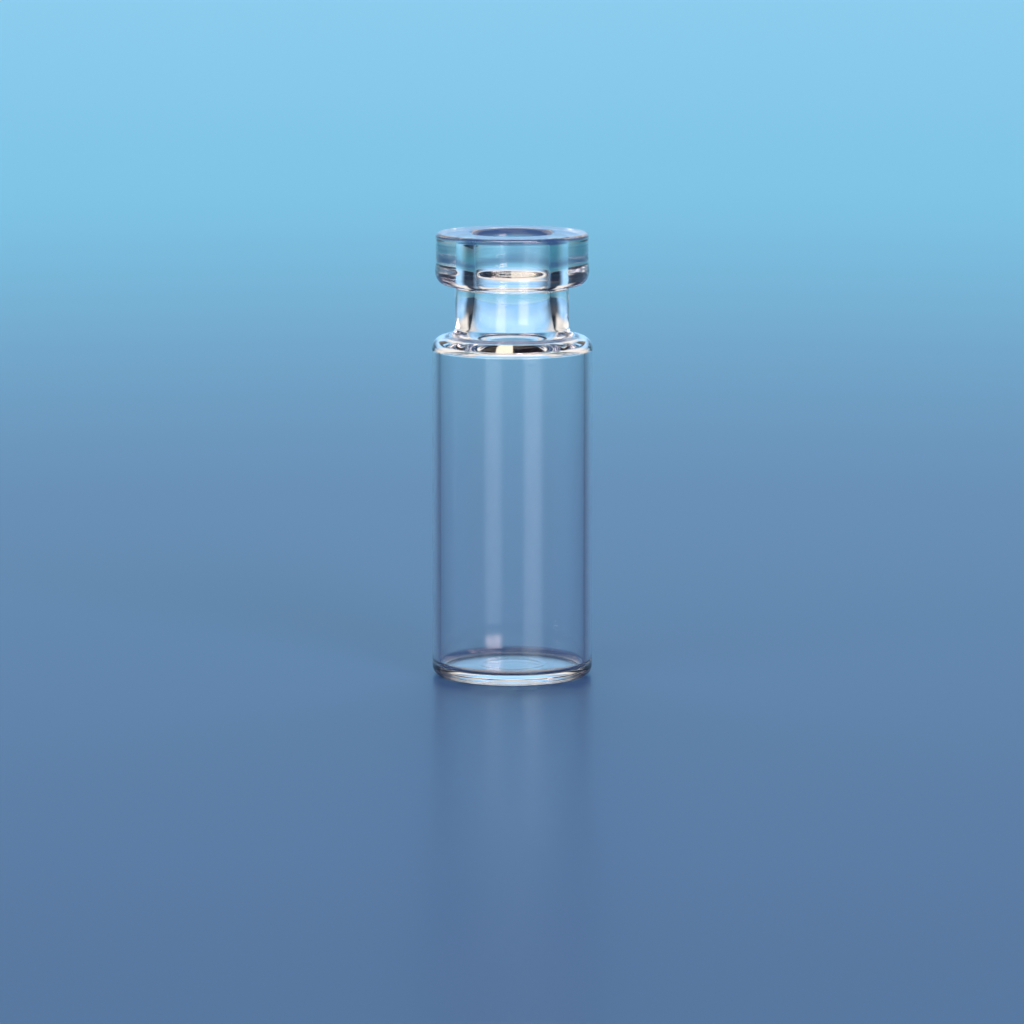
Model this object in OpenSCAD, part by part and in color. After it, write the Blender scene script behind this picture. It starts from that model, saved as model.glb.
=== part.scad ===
// Crimp-neck sample vial, formed from one length of glass tube.
//
// The vial is one turned form: a thin straight body, a rounded shoulder, a
// short neck and a thick crimp finish whose rounded lower edge the aluminium
// seal is rolled under. The bore runs straight through the finish, flares
// gently through the neck and opens under the thick sloping ceiling of the
// shoulder. The wall is drawn as a single half section, given as corners that
// are rounded by their own fillets, and turned about Z.
// It stands on the ring round its pushed-up base, with its axis on Z and the
// origin at the centre of that ring.

/* [Body] */
// Outside diameter of the body
body_d = 11.6; // [10.8:0.1:15]
// Height from the standing ring to the sealing face
vial_h = 32.2; // [28:0.1:45]
// Thickness of the body wall
wall_t = 0.6; // [0.4:0.05:0.9]

/* [Shoulder] */
// Outer radius that rounds the body over into the shoulder
shoulder_r = 0.95; // [0.6:0.05:1.4]
// Fall of the shoulder from the foot of the neck to the side of the body
shoulder_fall = 0.3; // [0.1:0.05:0.5]
// Thickness of the glass at the edge of the shoulder, measured straight down
shoulder_t = 0.72; // [0.6:0.02:1.2]
// Rounding of the inner corner between the ceiling and the wall
ceiling_corner_r = 0.4; // [0.1:0.05:0.7]
// Radius of the hollow corner at the foot of the neck
neck_foot_r = 0.65; // [0.2:0.05:0.9]

/* [Neck] */
// Outside diameter of the neck
neck_d = 8.2; // [7.6:0.05:8.8]
// Height of the neck between the shoulder and the crimp finish
neck_h = 3.5; // [2.8:0.05:5]

/* [Crimp finish] */
// Outside diameter of the crimp finish
finish_d = 11; // [10:0.1:11.4]
// Height of the crimp finish from its neck corner to the sealing face
finish_h = 3.8; // [3:0.1:4.5]
// Fall of the underside from its outer edge to the neck
underside_fall = 0.1; // [0.05:0.05:0.8]
// Rounding of the lower outer edge, which the seal is rolled round
crimp_edge_r = 0.8; // [0.1:0.05:1]
// Rounding of the corner between the underside and the neck
neck_head_r = 0.3; // [0.1:0.05:0.6]
// Rounding of the upper outer edge
rim_edge_r = 0.25; // [0.1:0.05:0.8]

/* [Mouth] */
// Diameter of the bore through the finish
bore_d = 5.4; // [4.8:0.1:5.8]
// Rounding of the inner lip, where the bore meets the sealing face
lip_r = 0.3; // [0.1:0.05:0.6]
// Diameter that the bore flares to at its foot
flare_d = 6.7; // [6.2:0.1:7]
// Height above the foot of the neck of the bend where the flare begins
flare_rise = 1.85; // [1.2:0.05:2.2]
// Radius of that bend
flare_bend_r = 9.5; // [2:0.5:12]
// Depth of the foot of the bore below the foot of the neck
bore_foot_drop = 0.3; // [0.2:0.05:0.7]
// Rounding at the foot of the bore, where it opens into the body
bore_foot_r = 1.1; // [0.2:0.1:1.4]

/* [Base] */
// Thickness of the base
base_t = 0.7; // [0.5:0.05:1.5]
// Height of the pushed-up centre above the standing ring
pushup_h = 0.05; // [0.05:0.05:0.5]
// Width of the flat standing ring
ring_w = 0.5; // [0.3:0.1:0.8]
// Rounding of the outer heel
heel_r = 0.65; // [0.2:0.05:1]
// Rounding of the inner corner between the floor and the wall
floor_corner_r = 0.5; // [0.1:0.05:1]

/* [Hidden] */

// Faces round the axis, and straight steps in each fillet and each dome
turn_steps = 128;
fillet_steps = 8;
dome_steps = 8;

// Part of a line that fillets leave straight when they run out of room
least_straight = 0.02;

body_r = body_d / 2;
inner_r = body_r - wall_t;
neck_r = neck_d / 2;
finish_r = finish_d / 2;
bore_r = bore_d / 2;
flare_r = flare_d / 2;

// Outer radius of the flat standing ring, and of the hollow inside it
ring_r = body_r - heel_r;
hollow_r = ring_r - ring_w;

// Heights of the corners, worked down from the sealing face
finish_z = vial_h - finish_h;
crimp_edge_z = finish_z + underside_fall;
shoulder_z = finish_z - neck_h;
flare_z = shoulder_z + flare_rise;
bore_foot_z = shoulder_z - bore_foot_drop;
shoulder_edge_z = shoulder_z - shoulder_fall;
ceiling_z = shoulder_edge_z - shoulder_t;

// A corner is [distance from the axis, height, fillet radius].
function place(corner) = [corner[0], corner[1]];
function direction(from, to) = (to - from) / norm(to - from);
function rotated(v, angle) = [
    v[0] * cos(angle) - v[1] * sin(angle),
    v[0] * sin(angle) + v[1] * cos(angle)
];

// Angle between the two lines that meet at corner i
function corner_angle(path, i) =
    let (
        back = direction(place(path[i]), place(path[i - 1])),
        onward = direction(place(path[i]), place(path[i + 1]))
    )
    acos(back * onward);

// Length that the fillet at corner i would take from each of its two lines
function wanted_reach(path, i) =
    path[i][2] == 0 ? 0 : path[i][2] / tan(corner_angle(path, i) / 2);

// Share of that length which the line after corner i has room for
function room_share(path, i) =
    let (
        wanted = wanted_reach(path, i) + wanted_reach(path, i + 1),
        room = norm(place(path[i + 1]) - place(path[i])) * (1 - least_straight)
    )
    wanted > room ? room / wanted : 1;

// Points along the tangent arc that rounds corner i
function fillet(path, i) =
    let (
        corner = place(path[i]),
        back = direction(corner, place(path[i - 1])),
        onward = direction(corner, place(path[i + 1])),
        half = corner_angle(path, i) / 2,
        reach = wanted_reach(path, i) * min(room_share(path, i - 1), room_share(path, i)),
        centre = corner + direction([0, 0], back + onward) * reach / cos(half),
        start = corner + back * reach - centre,
        turn = sign(cross(back, onward)) * (half * 2 - 180)
    )
    [for (step = [0:fillet_steps]) centre + rotated(start, turn * step / fillet_steps)];

// The whole path, with each corner that has a fillet radius rounded
function rounded(path) = [
    for (i = [0:len(path) - 1])
        each path[i][2] == 0 ? [place(path[i])] : fillet(path, i)
];

// Corners along a shallow dome, from its top on the axis to short of its edge
function dome(edge_r, rise, edge_z) =
    let (sphere_r = (edge_r * edge_r + rise * rise) / (2 * rise))
    [
        for (step = [0:dome_steps - 1])
            let (r = edge_r * step / dome_steps)
            [r, edge_z + rise - sphere_r + sqrt(sphere_r * sphere_r - r * r), 0]
    ];

function reversed(path) = [for (i = [len(path) - 1:-1:0]) path[i]];

// Outer surface, from the centre of the base up to the sealing face
outer_corners = concat(
    dome(hollow_r, pushup_h, 0),
    [
        [hollow_r, 0, ring_w / 2],
        [body_r, 0, heel_r],
        [body_r, shoulder_edge_z, shoulder_r],
        [neck_r, shoulder_z, neck_foot_r],
        [neck_r, finish_z, neck_head_r],
        [finish_r, crimp_edge_z, crimp_edge_r],
        [finish_r, vial_h, rim_edge_r]
    ]
);

// Inner surface, from the sealing face down the bore to the centre of the floor
inner_corners = concat(
    [
        [bore_r, vial_h, lip_r],
        [bore_r, flare_z, flare_bend_r],
        [flare_r, bore_foot_z, bore_foot_r],
        [inner_r, ceiling_z, ceiling_corner_r],
        [inner_r, base_t, floor_corner_r]
    ],
    reversed(dome(inner_r - floor_corner_r, pushup_h, base_t))
);

module vial() {
    color([0.84, 0.93, 0.97, 0.45])
        rotate_extrude($fn = turn_steps)
            polygon(rounded(concat(outer_corners, inner_corners)));
}

vial();
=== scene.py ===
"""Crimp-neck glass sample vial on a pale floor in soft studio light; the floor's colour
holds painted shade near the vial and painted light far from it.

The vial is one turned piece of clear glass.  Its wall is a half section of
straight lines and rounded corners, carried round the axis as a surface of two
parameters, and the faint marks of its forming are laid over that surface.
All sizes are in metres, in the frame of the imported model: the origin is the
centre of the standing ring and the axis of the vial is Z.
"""

from __future__ import annotations

import logging
import math
from dataclasses import dataclass, replace
from enum import Enum

import bpy
import numpy as np
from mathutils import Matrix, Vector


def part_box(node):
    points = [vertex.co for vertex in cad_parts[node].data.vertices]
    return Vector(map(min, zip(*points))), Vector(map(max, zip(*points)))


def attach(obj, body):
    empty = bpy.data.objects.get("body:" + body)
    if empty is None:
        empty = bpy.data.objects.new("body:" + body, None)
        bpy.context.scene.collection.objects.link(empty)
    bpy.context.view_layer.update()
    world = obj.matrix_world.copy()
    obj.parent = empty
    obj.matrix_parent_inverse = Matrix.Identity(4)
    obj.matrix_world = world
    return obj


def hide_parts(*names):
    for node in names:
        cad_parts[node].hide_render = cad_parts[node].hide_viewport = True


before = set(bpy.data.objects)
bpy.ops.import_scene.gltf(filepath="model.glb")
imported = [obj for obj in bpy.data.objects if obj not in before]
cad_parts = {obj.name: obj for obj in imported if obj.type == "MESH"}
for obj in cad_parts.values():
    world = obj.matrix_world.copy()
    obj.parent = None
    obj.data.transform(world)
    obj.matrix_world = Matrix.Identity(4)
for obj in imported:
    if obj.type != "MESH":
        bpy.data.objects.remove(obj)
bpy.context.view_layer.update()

MM = 0.001
log = logging.getLogger("vial")

Colour = tuple[float, float, float]


# ---------------------------------------------------------------- half section


@dataclass(frozen=True)
class Corner:
    """A corner of a half section.

    Attributes:
        r: Distance from the axis.
        z: Height above the standing ring.
        bend: Radius of the arc that rounds the corner.
    """

    r: float
    z: float
    bend: float


@dataclass(frozen=True)
class HalfSection:
    """A run of points in the plane through the axis, with the glass on its left.

    Attributes:
        r: Distance of each point from the axis.
        z: Height of each point.
        out_r: Part away from the axis of the direction each point faces.
        out_z: Upward part of that direction.
    """

    r: np.ndarray
    z: np.ndarray
    out_r: np.ndarray
    out_z: np.ndarray

    @property
    def rows(self) -> tuple[np.ndarray, ...]:
        """The four rows of numbers, in order."""
        return self.r, self.z, self.out_r, self.out_z

    @property
    def run(self) -> np.ndarray:
        """Length along the section from its start to each point."""
        steps = np.hypot(np.diff(self.r), np.diff(self.z))
        return np.concatenate([[0.0], np.cumsum(steps)])

    def joined(self, *others: HalfSection) -> HalfSection:
        """This section with others after it.

        Args:
            others: Sections that follow on, in order.

        Returns:
            One section through all their points.
        """
        rows = zip(*(section.rows for section in (self, *others)))
        return HalfSection(*(np.concatenate(row) for row in rows))

    def reversed(self) -> HalfSection:
        """The same points from last to first."""
        return HalfSection(*(row[::-1] for row in self.rows))

    def split(self, longest: np.ndarray) -> HalfSection:
        """Divides long steps evenly.

        Args:
            longest: Greatest length left of each step.

        Returns:
            The same section with more points.
        """
        run = self.run
        step = np.diff(run)
        parts = np.maximum(1, np.ceil(step / longest)).astype(int)
        part = np.arange(parts.sum()) - np.repeat(np.cumsum(parts) - parts, parts)
        finer = np.repeat(run[:-1], parts) + part * np.repeat(step / parts, parts)
        finer = np.append(finer, run[-1])
        return HalfSection(*(np.interp(finer, run, row) for row in self.rows))


def rounded(corners: list[Corner], steps: int) -> HalfSection:
    """Rounds the corners of a half section with tangent arcs.

    Where a and b are the directions from corner P back and onward, h is half
    the angle between them and k the radius of the bend, the arc leaves each
    line k / tan(h) from P, round the centre P + k (a + b) / (|a + b| sin(h)).

    Args:
        corners: The corners in order. The first and last only give directions.
        steps: Straight steps in each arc.

    Returns:
        The points of all the arcs, and the directions that they face.
    """
    place = np.array([(c.r, c.z) for c in corners])
    bend = np.array([c.bend for c in corners])[1:-1, None]
    line = np.diff(place, axis=0)
    line /= np.linalg.norm(line, axis=1, keepdims=True)
    back, onward = -line[:-1], line[1:]
    half = np.arccos((back * onward).sum(1, keepdims=True)) / 2
    side = np.sign(back[:, :1] * onward[:, 1:] - back[:, 1:] * onward[:, :1])
    middle = back + onward
    middle /= np.linalg.norm(middle, axis=1, keepdims=True)
    centre = place[1:-1] + middle * bend / np.sin(half)
    spoke = place[1:-1] + back * bend / np.tan(half) - centre
    turn = side * (2 * half - math.pi) * np.linspace(0, 1, steps + 1)
    spoke_r = spoke[:, :1] * np.cos(turn) - spoke[:, 1:] * np.sin(turn)
    spoke_z = spoke[:, :1] * np.sin(turn) + spoke[:, 1:] * np.cos(turn)
    facing = -side / bend
    return HalfSection(
        (centre[:, :1] + spoke_r).ravel(),
        (centre[:, 1:] + spoke_z).ravel(),
        (spoke_r * facing).ravel(),
        (spoke_z * facing).ravel(),
    )


class Facing(Enum):
    """Which side of a dome the glass leaves bare."""

    UP = 1.0
    DOWN = -1.0


@dataclass(frozen=True)
class Dome:
    """A shallow dome on the axis, a small cap of a large sphere.

    Attributes:
        edge_r: Radius of its edge.
        edge_z: Height of its edge.
        rise: Height of its top above its edge.
        facing: Which side of it is bare.
    """

    edge_r: float
    edge_z: float
    rise: float
    facing: Facing

    def section(self, steps: int, share: float = 0.98) -> HalfSection:
        """Section from the axis outwards.

        With sphere radius R = (edge_r^2 + rise^2) / (2 rise) and angle a from
        the axis, r = R sin(a) and z = edge_z + rise - R (1 - cos(a)).

        Args:
            steps: Straight steps along the dome.
            share: Part of the way to the edge that the points cover.

        Returns:
            The points of the dome, the one on the axis first.
        """
        sphere = (self.edge_r**2 + self.rise**2) / (2 * self.rise)
        angle = np.linspace(0, share * math.asin(self.edge_r / sphere), steps + 1)
        cos, sin = np.cos(angle), np.sin(angle)
        z = self.edge_z + self.rise - sphere * (1 - cos)
        way = self.facing.value
        return HalfSection(sphere * sin, z, way * sin, way * cos)


# --------------------------------------------------------------- forming marks


LEVEL = 0.5  # Least upward part of the way that a floor faces


class Skin(Enum):
    """Part of the surface that a ridge lies on, and how it is placed there."""

    OUTSIDE = "height on the outer surface"
    MOUTH = "height on the bore and the lip"
    FLOOR = "distance from the axis on the inner floor"

    def places(self, section: HalfSection) -> np.ndarray:
        """Where each point lies on this skin.

        Args:
            section: Section up the outside, over the lip and down the inside.

        Returns:
            The height or distance, or infinity for points that lie elsewhere.
        """
        outer = np.arange(len(section.z)) < section.z.argmax()
        level = (section.out_z > LEVEL) & (section.z < section.z.max() / 2)
        floor = ~outer & level
        if self is Skin.FLOOR:
            return np.where(floor, section.r, np.inf)
        on = outer if self is Skin.OUTSIDE else ~outer & ~floor
        return np.where(on, section.z, np.inf)


@dataclass(frozen=True)
class Ridge:
    """A shallow rounded ridge that runs round the axis, or a groove.

    Attributes:
        skin: Surface that it lies on.
        at: Its mean place on that surface.
        width: Distance over which it falls off to 1/e.
        rise: Its mean height, less than 0 for a groove.
        swell: Share by which its height comes and goes round the axis.
        swells: How often it does so.
        drift: How far it wanders to either side of its mean place.
        drifts: How often it does so.
        turn: Angle round the axis where both are greatest, in radians.
    """

    skin: Skin
    at: float
    width: float
    rise: float
    swell: float = 0.0
    swells: int = 1
    drift: float = 0.0
    drifts: int = 1
    turn: float = 0.0

    def relief(self, section: HalfSection, angle: np.ndarray) -> np.ndarray:
        """Height of the ridge over the surface.

        h(s, t) = rise (1 + swell cos(n (t - turn))) exp(-((p(s) - c(t)) / width)^2)
        with p the place on the skin and c(t) = at + drift cos(k (t - turn)).

        Args:
            section: Section of the wall.
            angle: Angles round the axis.

        Returns:
            A row for each point of the section and a column for each angle.
        """
        around = angle - self.turn
        centre = self.at + self.drift * np.cos(self.drifts * around)
        height = self.rise * (1 + self.swell * np.cos(self.swells * around))
        away = (self.skin.places(section)[:, None] - centre) / self.width
        return height * np.exp(-(away**2))


# ---------------------------------------------------------------------- meshes


def angles(count: int) -> np.ndarray:
    """Even angles all round the axis, in radians."""
    return np.arange(count) * 2 * math.pi / count


def turned_faces(rings: int, count: int) -> list[list[int]]:
    """Faces between the rings of a turned mesh, closed by a fan at each pole.

    Args:
        rings: Rings of points, numbered ring by ring.
        count: Points in each ring.

    Returns:
        The numbers of each face's points, with the two poles after all rings.
    """
    here = np.arange(count)
    there = np.roll(here, -1)
    low = np.arange(rings - 1)[:, None] * count
    high = low + count
    quads = np.stack([low + here, low + there, high + there, high + here], -1)
    first_pole, last_pole = rings * count, rings * count + 1
    top = (rings - 1) * count
    under = np.stack([np.full(count, first_pole), there, here], -1)
    over = np.stack([np.full(count, last_pole), top + here, top + there], -1)
    return quads.reshape(-1, 4).tolist() + under.tolist() + over.tolist()


def turned_mesh(
    name: str, section: HalfSection, relief: np.ndarray
) -> bpy.types.Mesh:
    """Carries a half section round the axis, with relief laid over it.

    P(s, t) = (r cos(t), r sin(t), z) + m n, where (r, z) is the section at
    length s, n the way that it faces and m(s, t) the relief.  The way that the
    finished surface faces is n - dm/ds s' - (dm/dt / r) t', with s' and t' the
    directions along the section and round the axis.

    Args:
        name: Name of the mesh.
        section: Section that starts and ends on the axis.
        relief: Height of the relief, with a row for each point of the section
            and a column for each angle.

    Returns:
        A closed mesh whose faces point out of the glass.
    """
    count = relief.shape[1]
    angle = angles(count)
    cos, sin = np.cos(angle), np.sin(angle)
    r, z, out_r, out_z = (row[1:-1, None] for row in section.rows)
    m = relief[1:-1]
    along = np.gradient(relief, section.run, axis=0)[1:-1]
    across = (np.roll(m, -1, 1) - np.roll(m, 1, 1)) / (2 * angle[1]) / r
    ring_r, ring_z = r + m * out_r, z + m * out_z
    face_r, face_z = out_r + along * out_z, out_z - along * out_r
    face_x, face_y = face_r * cos + across * sin, face_r * sin - across * cos
    place = np.stack([ring_r * cos, ring_r * sin, ring_z], -1)
    facing = np.stack([face_x, face_y, face_z], -1)
    poles = np.array([[0, 0, section.z[0]], [0, 0, section.z[-1]]])
    place = np.vstack([place.reshape(-1, 3), poles])
    facing = np.vstack([facing.reshape(-1, 3), [[0, 0, -1], [0, 0, 1]]])
    facing /= np.linalg.norm(facing, axis=1, keepdims=True)

    faces = turned_faces(len(m), count)
    mesh = bpy.data.meshes.new(name)
    mesh.from_pydata(place, [], faces)
    mesh.polygons.foreach_set("use_smooth", np.ones(len(faces), bool))
    mesh.normals_split_custom_set_from_vertices(facing)
    mesh.update()
    return mesh


# ----------------------------------------------------------------------- nodes


# What a socket may be given: an expression, a link, a number or a colour
Input = "Value | bpy.types.NodeSocket | float | tuple[float, ...]"


class Value:
    """A socket that carries a number, on which arithmetic adds Math nodes."""

    def __init__(self, graph: Graph, socket: bpy.types.NodeSocket) -> None:
        """Wraps a socket of a graph."""
        self.graph = graph
        self.socket = socket

    def maths(self, operation: str, *values: Input) -> Value:
        """Adds one Math node.

        Args:
            operation: The node's operation.
            values: Its inputs, in order.

        Returns:
            The node's result.
        """
        sockets = dict(enumerate(values))
        node = self.graph.node("ShaderNodeMath", {"operation": operation}, sockets)
        return Value(self.graph, node.outputs[0])

    def __add__(self, other: Input) -> Value:
        """Sum."""
        return self.maths("ADD", self, other)

    def __radd__(self, other: Input) -> Value:
        """Sum with a number on the left."""
        return self.maths("ADD", other, self)

    def __sub__(self, other: Input) -> Value:
        """Difference."""
        return self.maths("SUBTRACT", self, other)

    def __rsub__(self, other: Input) -> Value:
        """Difference from a number on the left."""
        return self.maths("SUBTRACT", other, self)

    def __mul__(self, other: Input) -> Value:
        """Product."""
        return self.maths("MULTIPLY", self, other)

    def __rmul__(self, other: Input) -> Value:
        """Product with a number on the left."""
        return self.maths("MULTIPLY", other, self)

    def __abs__(self) -> Value:
        """Size without sign."""
        return self.maths("ABSOLUTE", self)

    def ramp(self, low: float, high: float) -> Value:
        """Rises smoothly from 0 at low to 1 at high.

        Args:
            low: Number at which the result is 0.
            high: Number at which the result is 1, on either side of low.

        Returns:
            The eased result.
        """
        settings = {"interpolation_type": "SMOOTHSTEP"}
        sockets = {"Value": self, "From Min": low, "From Max": high}
        node = self.graph.node("ShaderNodeMapRange", settings, sockets)
        return Value(self.graph, node.outputs["Result"])


class Graph:
    """A node tree, emptied and then filled by expressions."""

    def __init__(self, tree: bpy.types.NodeTree) -> None:
        """Takes a tree and clears it."""
        self.tree = tree
        tree.nodes.clear()

    def node(
        self,
        kind: str,
        settings: dict[str, object] | None = None,
        sockets: dict[str | int, Input] | None = None,
    ) -> bpy.types.Node:
        """Adds one node.

        Args:
            kind: The node's type.
            settings: Properties, set before the sockets.
            sockets: Values or links of its inputs, by name or number.

        Returns:
            The new node.
        """
        made = self.tree.nodes.new(kind)
        for name, setting in (settings or {}).items():
            setattr(made, name, setting)
        for name, value in (sockets or {}).items():
            socket = made.inputs[name]
            if isinstance(value, Value):
                value = value.socket
            if isinstance(value, bpy.types.NodeSocket):
                self.tree.links.new(value, socket)
            else:
                socket.default_value = value
        return made

    def value(self, socket: bpy.types.NodeSocket) -> Value:
        """Wraps a socket for arithmetic."""
        return Value(self, socket)

    def mixed(
        self, share: Value, first: bpy.types.Node, second: bpy.types.Node
    ) -> bpy.types.Node:
        """Mixes two shaders.

        Args:
            share: Part of the second shader.
            first: Shader where the share is 0.
            second: Shader where it is 1.

        Returns:
            The node that mixes them.
        """
        shaders = {0: share, 1: first.outputs[0], 2: second.outputs[0]}
        return self.node("ShaderNodeMixShader", None, shaders)


# -------------------------------------------------------------------- finishes


@dataclass(frozen=True)
class ClearGlass:
    """Clear colourless glass, fire-polished, with faint smudges and draw lines.

    Attributes:
        ior: Refractive index.
        tint: Colour of the clean glass.
        smudged: Colour where the surface is faintly clouded.
        clean_roughness: Roughness of the clean glass.
        smudge_roughness: Roughness that a smudge adds.
        smudge_size: Width of a smudge.
        smudge_detail: Finer layers in a smudge.
        smudge_break: How much of each layer the next one keeps.
        smudge_edge: Height of the noise where smudges start.
        smudge_core: Height of the noise where they are full.
        line_size: Width of a draw line.
        line_detail: Finer layers in the draw lines.
        line_stretch: Width of a draw line over its length.
        line_depth: Depth of the draw lines.
    """

    ior: float = 1.5
    tint: Colour = (1.0, 1.0, 1.0)
    smudged: Colour = (0.97, 0.985, 0.99)
    clean_roughness: float = 0.0
    smudge_roughness: float = 0.012
    smudge_size: float = 6.0 * MM
    smudge_detail: float = 3.0
    smudge_break: float = 0.55
    smudge_edge: float = 0.55
    smudge_core: float = 0.8
    line_size: float = 0.9 * MM
    line_detail: float = 1.0
    line_stretch: float = 0.04
    line_depth: float = 0.0004 * MM

    def material(self, name: str) -> bpy.types.Material:
        """Makes the finish.

        Args:
            name: Name of the material.

        Returns:
            The material.
        """
        made = bpy.data.materials.new(name)
        made.use_nodes = True
        graph = Graph(made.node_tree)
        place = graph.node("ShaderNodeTexCoord").outputs["Object"]
        smudge = graph.node(
            "ShaderNodeTexNoise",
            {"noise_dimensions": "3D"},
            {
                "Vector": place,
                "Scale": 1 / self.smudge_size,
                "Detail": self.smudge_detail,
                "Roughness": self.smudge_break,
            },
        )
        cloud = graph.value(smudge.outputs["Fac"])
        mask = cloud.ramp(self.smudge_edge, self.smudge_core)
        drawn = graph.node(
            "ShaderNodeMapping",
            None,
            {"Vector": place, "Scale": (1.0, 1.0, self.line_stretch)},
        )
        lines = graph.node(
            "ShaderNodeTexNoise",
            None,
            {
                "Vector": drawn.outputs[0],
                "Scale": 1 / self.line_size,
                "Detail": self.line_detail,
            },
        )
        bump = graph.node(
            "ShaderNodeBump",
            None,
            {
                "Height": lines.outputs["Fac"],
                "Distance": self.line_depth,
                "Strength": 1.0,
            },
        )
        colour = graph.node(
            "ShaderNodeMix",
            {"data_type": "RGBA"},
            {"Factor": mask, "A": (*self.tint, 1.0), "B": (*self.smudged, 1.0)},
        )
        glass = graph.node(
            "ShaderNodeBsdfPrincipled",
            None,
            {
                "Base Color": colour.outputs["Result"],
                "Roughness": self.clean_roughness + mask * self.smudge_roughness,
                "IOR": self.ior,
                "Transmission Weight": 1.0,
                "Normal": bump.outputs["Normal"],
            },
        )
        graph.node("ShaderNodeOutputMaterial", None, {"Surface": glass.outputs[0]})
        return made


@dataclass(frozen=True)
class SatinFloor:
    """Satin floor whose matt colour is painted darker near the vial and paler far away,
    a painted fall-off of the studio light.

    Attributes:
        near: Colour under the gloss close to the vial, darker as painted shade.
        far: Colour under the gloss far from it, paler as painted light.
        turn_near: Distance at which the painted shade starts to give way to painted
            light.
        turn_far: Distance at which the painted light is at its palest.
        sheen: Colour of the gloss.
        roughness: Roughness of the gloss.
        ior: Refractive index of the gloss.
    """

    near: Colour = (0.065, 0.150, 0.43)
    far: Colour = (0.12, 0.66, 1.00)
    turn_near: float = 80 * MM
    turn_far: float = 410 * MM
    sheen: Colour = (0.62, 0.91, 1.0)
    roughness: float = 0.28
    ior: float = 1.12

    def material(self, name: str) -> bpy.types.Material:
        """Makes the finish.

        Args:
            name: Name of the material.

        Returns:
            The material.
        """
        made = bpy.data.materials.new(name)
        made.use_nodes = True
        graph = Graph(made.node_tree)
        place = graph.node("ShaderNodeTexCoord").outputs["Object"]
        length = graph.node("ShaderNodeVectorMath", {"operation": "LENGTH"}, {0: place})
        away = graph.value(length.outputs["Value"])
        # Painted light fall-off: the matt colour runs from the darker near colour,
        # painted shade close to the vial, to the paler far colour, painted light, with
        # distance from the axis.
        share = away.ramp(self.turn_near, self.turn_far)
        near = graph.node("ShaderNodeBsdfDiffuse", None, {"Color": (*self.near, 1.0)})
        far = graph.node("ShaderNodeBsdfDiffuse", None, {"Color": (*self.far, 1.0)})
        painted_falloff_matt = graph.mixed(share, near, far)
        gloss = graph.node(
            "ShaderNodeBsdfGlossy",
            None,
            {"Color": (*self.sheen, 1.0), "Roughness": self.roughness},
        )
        fresnel = graph.node("ShaderNodeFresnel", None, {"IOR": self.ior})
        both = graph.mixed(graph.value(fresnel.outputs[0]), painted_falloff_matt, gloss)
        graph.node("ShaderNodeOutputMaterial", None, {"Surface": both.outputs[0]})
        return made


# ------------------------------------------------------------------------ vial


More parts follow.
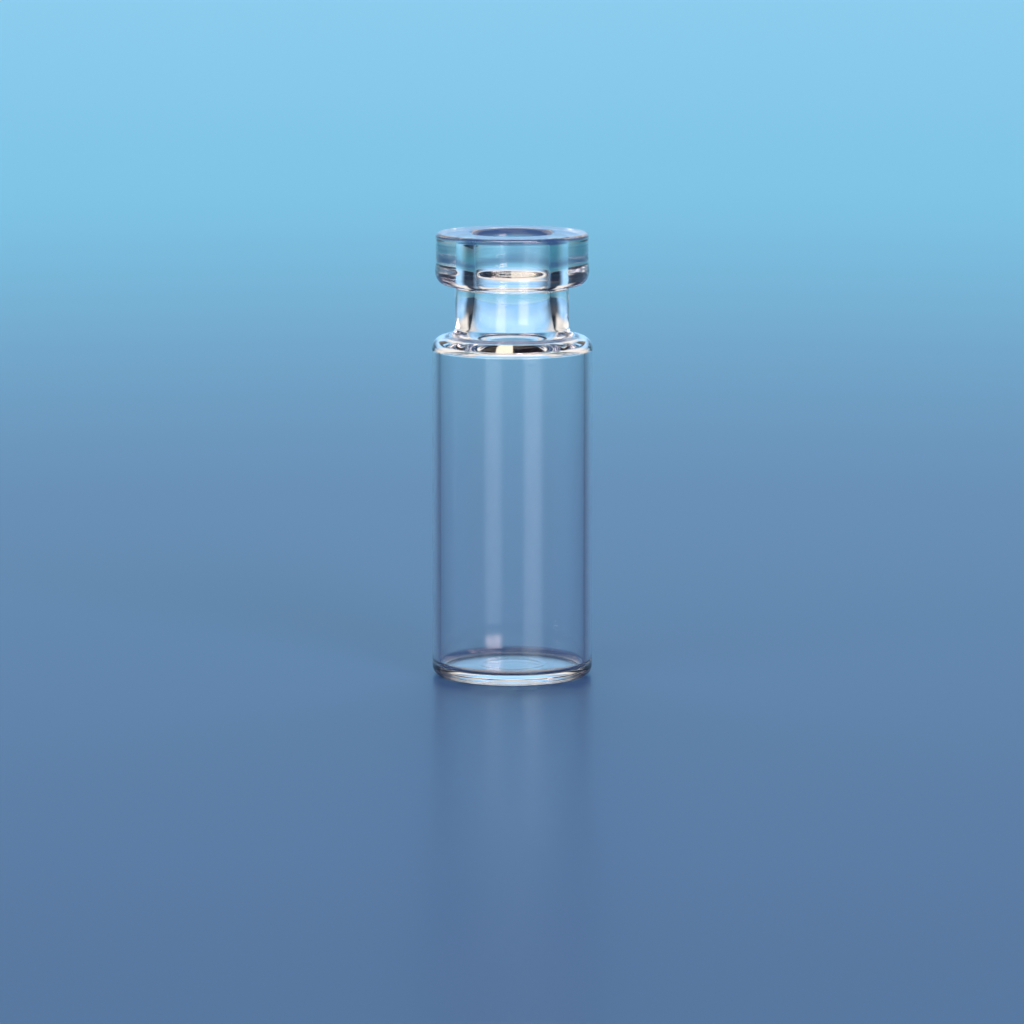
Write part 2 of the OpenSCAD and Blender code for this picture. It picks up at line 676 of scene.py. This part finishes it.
@dataclass
class SampleVial:
    """The glass vial: body, shoulder, neck, crimp finish, mouth and base.

    Attributes:
        body_r: Outer radius of the body.
        height: Height of the sealing face above the standing ring.
        wall: Thickness of the body's wall.
        shoulder_bend: Rounding of the outer shoulder.
        shoulder_fall: Fall of the shoulder from the neck to the side of the body.
        shoulder_t: Thickness of the glass at the edge of the shoulder.
        ceiling_bend: Rounding between the inner wall and the shoulder's ceiling.
        neck_r: Outer radius of the neck.
        neck_h: Height of the neck.
        neck_foot_bend: Rounding at the foot of the neck.
        neck_head_bend: Rounding at the head of the neck.
        finish_r: Outer radius of the crimp finish.
        finish_h: Height of the crimp finish.
        underside_fall: Fall of its underside from its edge to the neck.
        crimp_bend: Rounding of its lower edge.
        rim_bend: Rounding of its upper edge.
        bore_r: Radius of the bore.
        lip_bend: Rounding of the inner lip.
        flare_r: Radius that the bore flares to.
        flare_rise: Height of the flare's bend above the foot of the neck.
        flare_bend: Radius of that bend.
        bore_foot_drop: Depth of the bore's foot below the foot of the neck.
        bore_foot_bend: Rounding of the bore's foot.
        base_t: Thickness of the base.
        pushup: Height of the pushed-up centre of the base.
        ring_w: Width of the standing ring.
        heel_bend: Rounding of the heel.
        floor_bend: Rounding between the floor and the wall.
        segments: Faces round the axis.
        arc_steps: Straight steps in each arc.
        dome_steps: Straight steps in each dome.
        longest_step: Longest step along the section.
        fine_step: Longest step where forming left its marks.
    """

    body_r: float
    height: float
    wall: float = 0.6 * MM
    shoulder_bend: float = 0.95 * MM
    shoulder_fall: float = 0.3 * MM
    shoulder_t: float = 0.72 * MM
    ceiling_bend: float = 0.4 * MM
    neck_r: float = 4.1 * MM
    neck_h: float = 3.5 * MM
    neck_foot_bend: float = 0.65 * MM
    neck_head_bend: float = 0.3 * MM
    finish_r: float = 5.5 * MM
    finish_h: float = 3.8 * MM
    underside_fall: float = 0.1 * MM
    crimp_bend: float = 0.8 * MM
    rim_bend: float = 0.25 * MM
    bore_r: float = 2.7 * MM
    lip_bend: float = 0.6 * MM
    flare_r: float = 3.35 * MM
    flare_rise: float = 1.85 * MM
    flare_bend: float = 9.5 * MM
    bore_foot_drop: float = 0.3 * MM
    bore_foot_bend: float = 1.1 * MM
    base_t: float = 0.7 * MM
    pushup: float = 0.05 * MM
    ring_w: float = 0.5 * MM
    heel_bend: float = 0.65 * MM
    floor_bend: float = 0.5 * MM
    segments: int = 288
    arc_steps: int = 12
    dome_steps: int = 12
    longest_step: float = 2.0 * MM
    fine_step: float = 0.075 * MM

    @classmethod
    def from_frame(cls) -> SampleVial:
        """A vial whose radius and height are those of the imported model."""
        low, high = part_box("vial")
        return cls(body_r=(high.x - low.x) / 2, height=high.z)

    def section(self) -> HalfSection:
        """The wall's half section, from under the base to the top of the floor.

        Returns:
            The section, up the outside, over the lip and down the inside.
        """
        ring_r = self.body_r - self.heel_bend
        hollow = Dome(ring_r - self.ring_w, 0.0, self.pushup, Facing.DOWN)
        hollow = hollow.section(self.dome_steps)
        inner_r = self.body_r - self.wall
        floor = Dome(inner_r - self.floor_bend, self.base_t, self.pushup, Facing.UP)
        floor = floor.section(self.dome_steps).reversed()
        finish_z = self.height - self.finish_h
        crimp_z = finish_z + self.underside_fall
        shoulder_z = finish_z - self.neck_h
        flare_z = shoulder_z + self.flare_rise
        bore_foot_z = shoulder_z - self.bore_foot_drop
        edge_z = shoulder_z - self.shoulder_fall
        wall = rounded(
            [
                Corner(hollow.r[-1], hollow.z[-1], 0.0),
                Corner(ring_r - self.ring_w, 0.0, self.ring_w / 2),
                Corner(self.body_r, 0.0, self.heel_bend),
                Corner(self.body_r, edge_z, self.shoulder_bend),
                Corner(self.neck_r, shoulder_z, self.neck_foot_bend),
                Corner(self.neck_r, finish_z, self.neck_head_bend),
                Corner(self.finish_r, crimp_z, self.crimp_bend),
                Corner(self.finish_r, self.height, self.rim_bend),
                Corner(self.bore_r, self.height, self.lip_bend),
                Corner(self.bore_r, flare_z, self.flare_bend),
                Corner(self.flare_r, bore_foot_z, self.bore_foot_bend),
                Corner(inner_r, edge_z - self.shoulder_t, self.ceiling_bend),
                Corner(inner_r, self.base_t, self.floor_bend),
                Corner(floor.r[0], floor.z[0], 0.0),
            ],
            self.arc_steps,
        )
        whole = hollow.joined(wall, floor)
        marked = (whole.z > finish_z) | (Skin.FLOOR.places(whole) < self.bore_r)
        fine = marked[1:] & marked[:-1]
        return whole.split(np.where(fine, self.fine_step, self.longest_step))

    def marks(self) -> list[Ridge]:
        """The faint marks that forming leaves on the crimp finish and the floor.

        Returns:
            The bead round the lower part of the finish, the bead under its rim,
            a hairline groove and a hairline ridge between them, a hairline
            ridge inside the mouth and a faint ring on the floor.
        """
        top = self.height
        foot = top - self.finish_h
        return [
            Ridge(
                Skin.OUTSIDE,
                at=foot + 1.12 * MM,
                width=0.42 * MM,
                rise=0.055 * MM,
                swell=0.15,
                swells=3,
                drift=0.03 * MM,
            ),
            Ridge(
                Skin.OUTSIDE,
                at=top - 0.3 * MM,
                width=0.16 * MM,
                rise=0.02 * MM,
                swell=0.3,
                swells=2,
            ),
            Ridge(
                Skin.OUTSIDE,
                at=top - 1.3 * MM,
                width=0.07 * MM,
                rise=-0.0022 * MM,
                swell=0.9,
                drift=0.06 * MM,
                turn=2.6,
            ),
            Ridge(
                Skin.OUTSIDE,
                at=top - 1.75 * MM,
                width=0.07 * MM,
                rise=0.0012 * MM,
                swell=0.9,
                swells=3,
                drift=0.03 * MM,
            ),
            Ridge(
                Skin.MOUTH,
                at=top - 0.75 * MM,
                width=0.1 * MM,
                rise=0.005 * MM,
                swell=0.4,
                drift=0.25 * MM,
                turn=-2.6,
            ),
            Ridge(
                Skin.FLOOR,
                at=2.2 * MM,
                width=0.2 * MM,
                rise=0.01 * MM,
                swell=0.2,
                swells=2,
                drift=0.03 * MM,
                drifts=2,
            ),
        ]

    def build(self, finish: ClearGlass) -> bpy.types.Object:
        """Makes the vial and puts it in the frame.

        Args:
            finish: The glass.

        Returns:
            The finished piece, in place of the plain solid.
        """
        section = self.section()
        angle = angles(self.segments)
        relief = sum(ridge.relief(section, angle) for ridge in self.marks())
        mesh = turned_mesh("vial_glass", section, relief)
        mesh.materials.append(finish.material("clear_glass"))
        piece = bpy.data.objects.new("vial_glass", mesh)
        bpy.context.scene.collection.objects.link(piece)
        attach(piece, "root")
        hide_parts("vial")
        return piece


# ---------------------------------------------------------------------- studio


ROUND = 180.0  # Half width of a panel that goes all the way round


@dataclass(frozen=True)
class Panel:
    """A soft-edged panel of light, far away, given by its directions in degrees.

    Attributes:
        colour: Brightness and colour.
        bearing: Middle of the panel round the axis, 0 at +Y and 90 at +X.
        half_width: Angle from its middle to the middle of its side edges.
        side_edge: Half the width over which those edges fade.
        low: Lowest elevation.
        high: Highest elevation.
        end_edge: Half the height over which its top and bottom fade.
    """

    colour: Colour
    bearing: float
    half_width: float
    side_edge: float
    low: float
    high: float
    end_edge: float

    def mask(self, bearing: Value, elevation: Value) -> Value:
        """How much of the panel is seen in each direction.

        Args:
            bearing: Direction round the axis, in radians.
            elevation: Direction above the horizon, in radians.

        Returns:
            A number from 0 to 1.
        """
        bottom = soft_edge(elevation, self.low, self.end_edge)
        top = soft_edge(elevation, self.high, -self.end_edge)
        if self.half_width >= ROUND:
            return bottom * top
        away = bearing - math.radians(self.bearing)
        away = abs(away.maths("WRAP", away, math.pi, -math.pi))
        return bottom * top * soft_edge(away, self.half_width, -self.side_edge)


def soft_edge(angle: Value, middle: float, reach: float) -> Value:
    """Fades in across the edge of a panel.

    Args:
        angle: Angle at each point, in radians.
        middle: Angle at the middle of the edge, in degrees.
        reach: Degrees from there to full light, less than 0 on the way down.

    Returns:
        A number from 0 to 1.
    """
    return angle.ramp(math.radians(middle - reach), math.radians(middle + reach))


# Bearings of the four sides, where the camera looks towards the front one
FRONT, RIGHT, BACK, LEFT = 0.0, 90.0, 180.0, -90.0


@dataclass
class StudioLight:
    """Soft studio light: low backdrops on four sides, softboxes and a ceiling.

    Attributes:
        front: Brightness of the backdrop that the camera looks towards.
        side: Brightness of the backdrops on its two sides.
        back: Brightness of the backdrop behind it.
    """

    front: float = 1.0
    side: float = 0.55
    back: float = 0.5

    def backdrop(self, bearing: float, share: float, spread: float) -> list[Panel]:
        """A low backdrop, deep blue at the horizon and pale blue above it.

        Args:
            bearing: Bearing of its middle, in degrees.
            share: Its brightness.
            spread: Its width, as a part of the full width.

        Returns:
            Its panels, from the lowest up.
        """
        bands = [
            Panel((0.27, 0.55, 0.89), bearing, 34, 9, -8, 2.5, 3),
            Panel((0.50, 0.85, 1.23), bearing, 27, 15, 2.5, 12, 4),
            Panel((0.24, 0.62, 1.03), bearing, 28, 15, 12, 15.5, 4),
        ]
        return [
            replace(
                band,
                colour=tuple(share * part for part in band.colour),
                half_width=spread * band.half_width,
                side_edge=spread * band.side_edge,
            )
            for band in bands
        ]

    def panels(self) -> list[Panel]:
        """The panels of light.

        Returns:
            All panels, each one's colour before its bearing, width and heights.
        """
        return [
            *self.backdrop(FRONT, self.front, 1.0),
            *self.backdrop(LEFT, self.side, 0.5),
            *self.backdrop(RIGHT, self.side, 0.5),
            *self.backdrop(BACK, self.back, 0.8),
            # Wide screens over the front backdrop, warm and then cool
            Panel((1.08, 1.00, 0.93), FRONT, 43, 7, 15.5, 43.5, 5),
            Panel((0.76, 1.00, 1.00), FRONT, 39, 4, 43.5, 65, 2),
            # Strong softbox behind the camera, on its right
            Panel((6.30, 4.90, 5.10), 149, 13, 6, 3, 36, 3),
            # Two pale screens behind the camera, on its left
            Panel((1.45, 1.34, 1.20), -147, 35, 9, 15, 38, 3),
            Panel((1.18, 1.03, 0.80), -148, 35, 3, 46, 69, 4),
            # Dim screens on the two sides
            Panel((0.25, 0.33, 0.42), LEFT, 22, 10, 15, 32, 4),
            Panel((0.22, 0.27, 0.32), RIGHT, 16, 8, 15, 32, 4),
            # Ceiling light, and what little the room gives back below and above
            Panel((1.25, 1.08, 0.95), FRONT, ROUND, 1, 72, 91, 3),
            Panel((0.015, 0.025, 0.045), FRONT, ROUND, 1, -90, 14, 6),
            Panel((0.01, 0.006, 0.006), FRONT, ROUND, 1, 8, 90, 6),
        ]

    def build(self) -> bpy.types.World:
        """Makes the world that lights the scene.

        Returns:
            The world.
        """
        world = bpy.data.worlds.new("studio_light")
        world.use_nodes = True
        graph = Graph(world.node_tree)
        way = graph.node("ShaderNodeTexCoord").outputs["Generated"]
        parts = graph.node("ShaderNodeSeparateXYZ", None, {0: way}).outputs
        east, north, up = (graph.value(part) for part in parts)
        bearing = east.maths("ARCTAN2", east, north)
        elevation = up.maths("ARCSINE", up)
        total: Input = (0.0, 0.0, 0.0)
        for panel in self.panels():
            light = graph.node(
                "ShaderNodeVectorMath",
                {"operation": "MULTIPLY_ADD"},
                {0: panel.mask(bearing, elevation), 1: panel.colour, 2: total},
            )
            total = light.outputs[0]
        glow = graph.node("ShaderNodeBackground", None, {"Color": total})
        graph.node("ShaderNodeOutputWorld", None, {"Surface": glow.outputs[0]})
        bpy.context.scene.world = world
        return world


@dataclass
class StudioFloor:
    """The wide floor that the vial stands on.

    Attributes:
        half_side: Half the side of the square floor.
        gap: Clearance under the standing ring.
    """

    half_side: float = 6.0
    gap: float = 0.02 * MM

    def build(self, finish: SatinFloor) -> bpy.types.Object:
        """Makes the floor.

        Args:
            finish: Its surface.

        Returns:
            The floor.
        """
        side = np.array([(-1, -1), (1, -1), (1, 1), (-1, 1)]) * self.half_side
        place = np.column_stack([side, np.full(len(side), -self.gap)])
        mesh = bpy.data.meshes.new("floor")
        mesh.from_pydata(place, [], [(0, 1, 2, 3)])
        mesh.materials.append(finish.material("pale_floor_painted_falloff"))
        floor = bpy.data.objects.new("floor", mesh)
        bpy.context.scene.collection.objects.link(floor)
        return floor


@dataclass
class StudioCamera:
    """Long lens in front of the vial, a little above it.

    Attributes:
        distance: Distance in front of the vial's axis.
        height: Height above the floor.
        pitch: Angle that it looks down, in degrees.
        focal_px: Focal length, in widths of one pixel.
        image_px: Width of the image in pixels.
        axis_px: Column of the image that the vial's axis falls on.
        sensor: Width of the sensor, in millimetres.
    """

    distance: float = 410.0 * MM
    height: float = 72.66 * MM
    pitch: float = 8.435
    focal_px: float = 5720.0
    image_px: int = 1024
    axis_px: float = 512.17
    sensor: float = 36.0

    def build(self) -> bpy.types.Object:
        """Makes the camera and sets it as the scene's.

        Returns:
            The camera.
        """
        lens = bpy.data.cameras.new("camera")
        lens.sensor_width = self.sensor
        lens.lens = self.sensor * self.focal_px / self.image_px
        lens.shift_x = 0.5 - self.axis_px / self.image_px
        camera = bpy.data.objects.new("camera", lens)
        camera.location = (0.0, -self.distance, self.height)
        camera.rotation_euler = (math.radians(90 - self.pitch), 0.0, 0.0)
        bpy.context.scene.collection.objects.link(camera)
        bpy.context.scene.camera = camera
        return camera


@dataclass(frozen=True)
class LightPaths:
    """How far light is followed through the thick glass.

    Attributes:
        through: Times that it may pass a surface of the glass.
        glossy: Times that it may be reflected.
    """

    through: int = 24
    glossy: int = 16

    def apply(self) -> None:
        """Sets the limits, and plain colours in the picture."""
        scene = bpy.context.scene
        scene.cycles.max_bounces = self.through
        scene.cycles.transmission_bounces = self.through
        scene.cycles.glossy_bounces = self.glossy
        scene.view_settings.view_transform = "Standard"


def main() -> None:
    """Builds the studio and the vial."""
    logging.basicConfig(level=logging.INFO, format="%(message)s")
    LightPaths().apply()
    StudioLight().build()
    StudioFloor().build(SatinFloor())
    StudioCamera().build()
    vial = SampleVial.from_frame().build(ClearGlass())
    log.info("%s: %d faces", vial.name, len(vial.data.polygons))


if __name__ == "__main__":
    main()
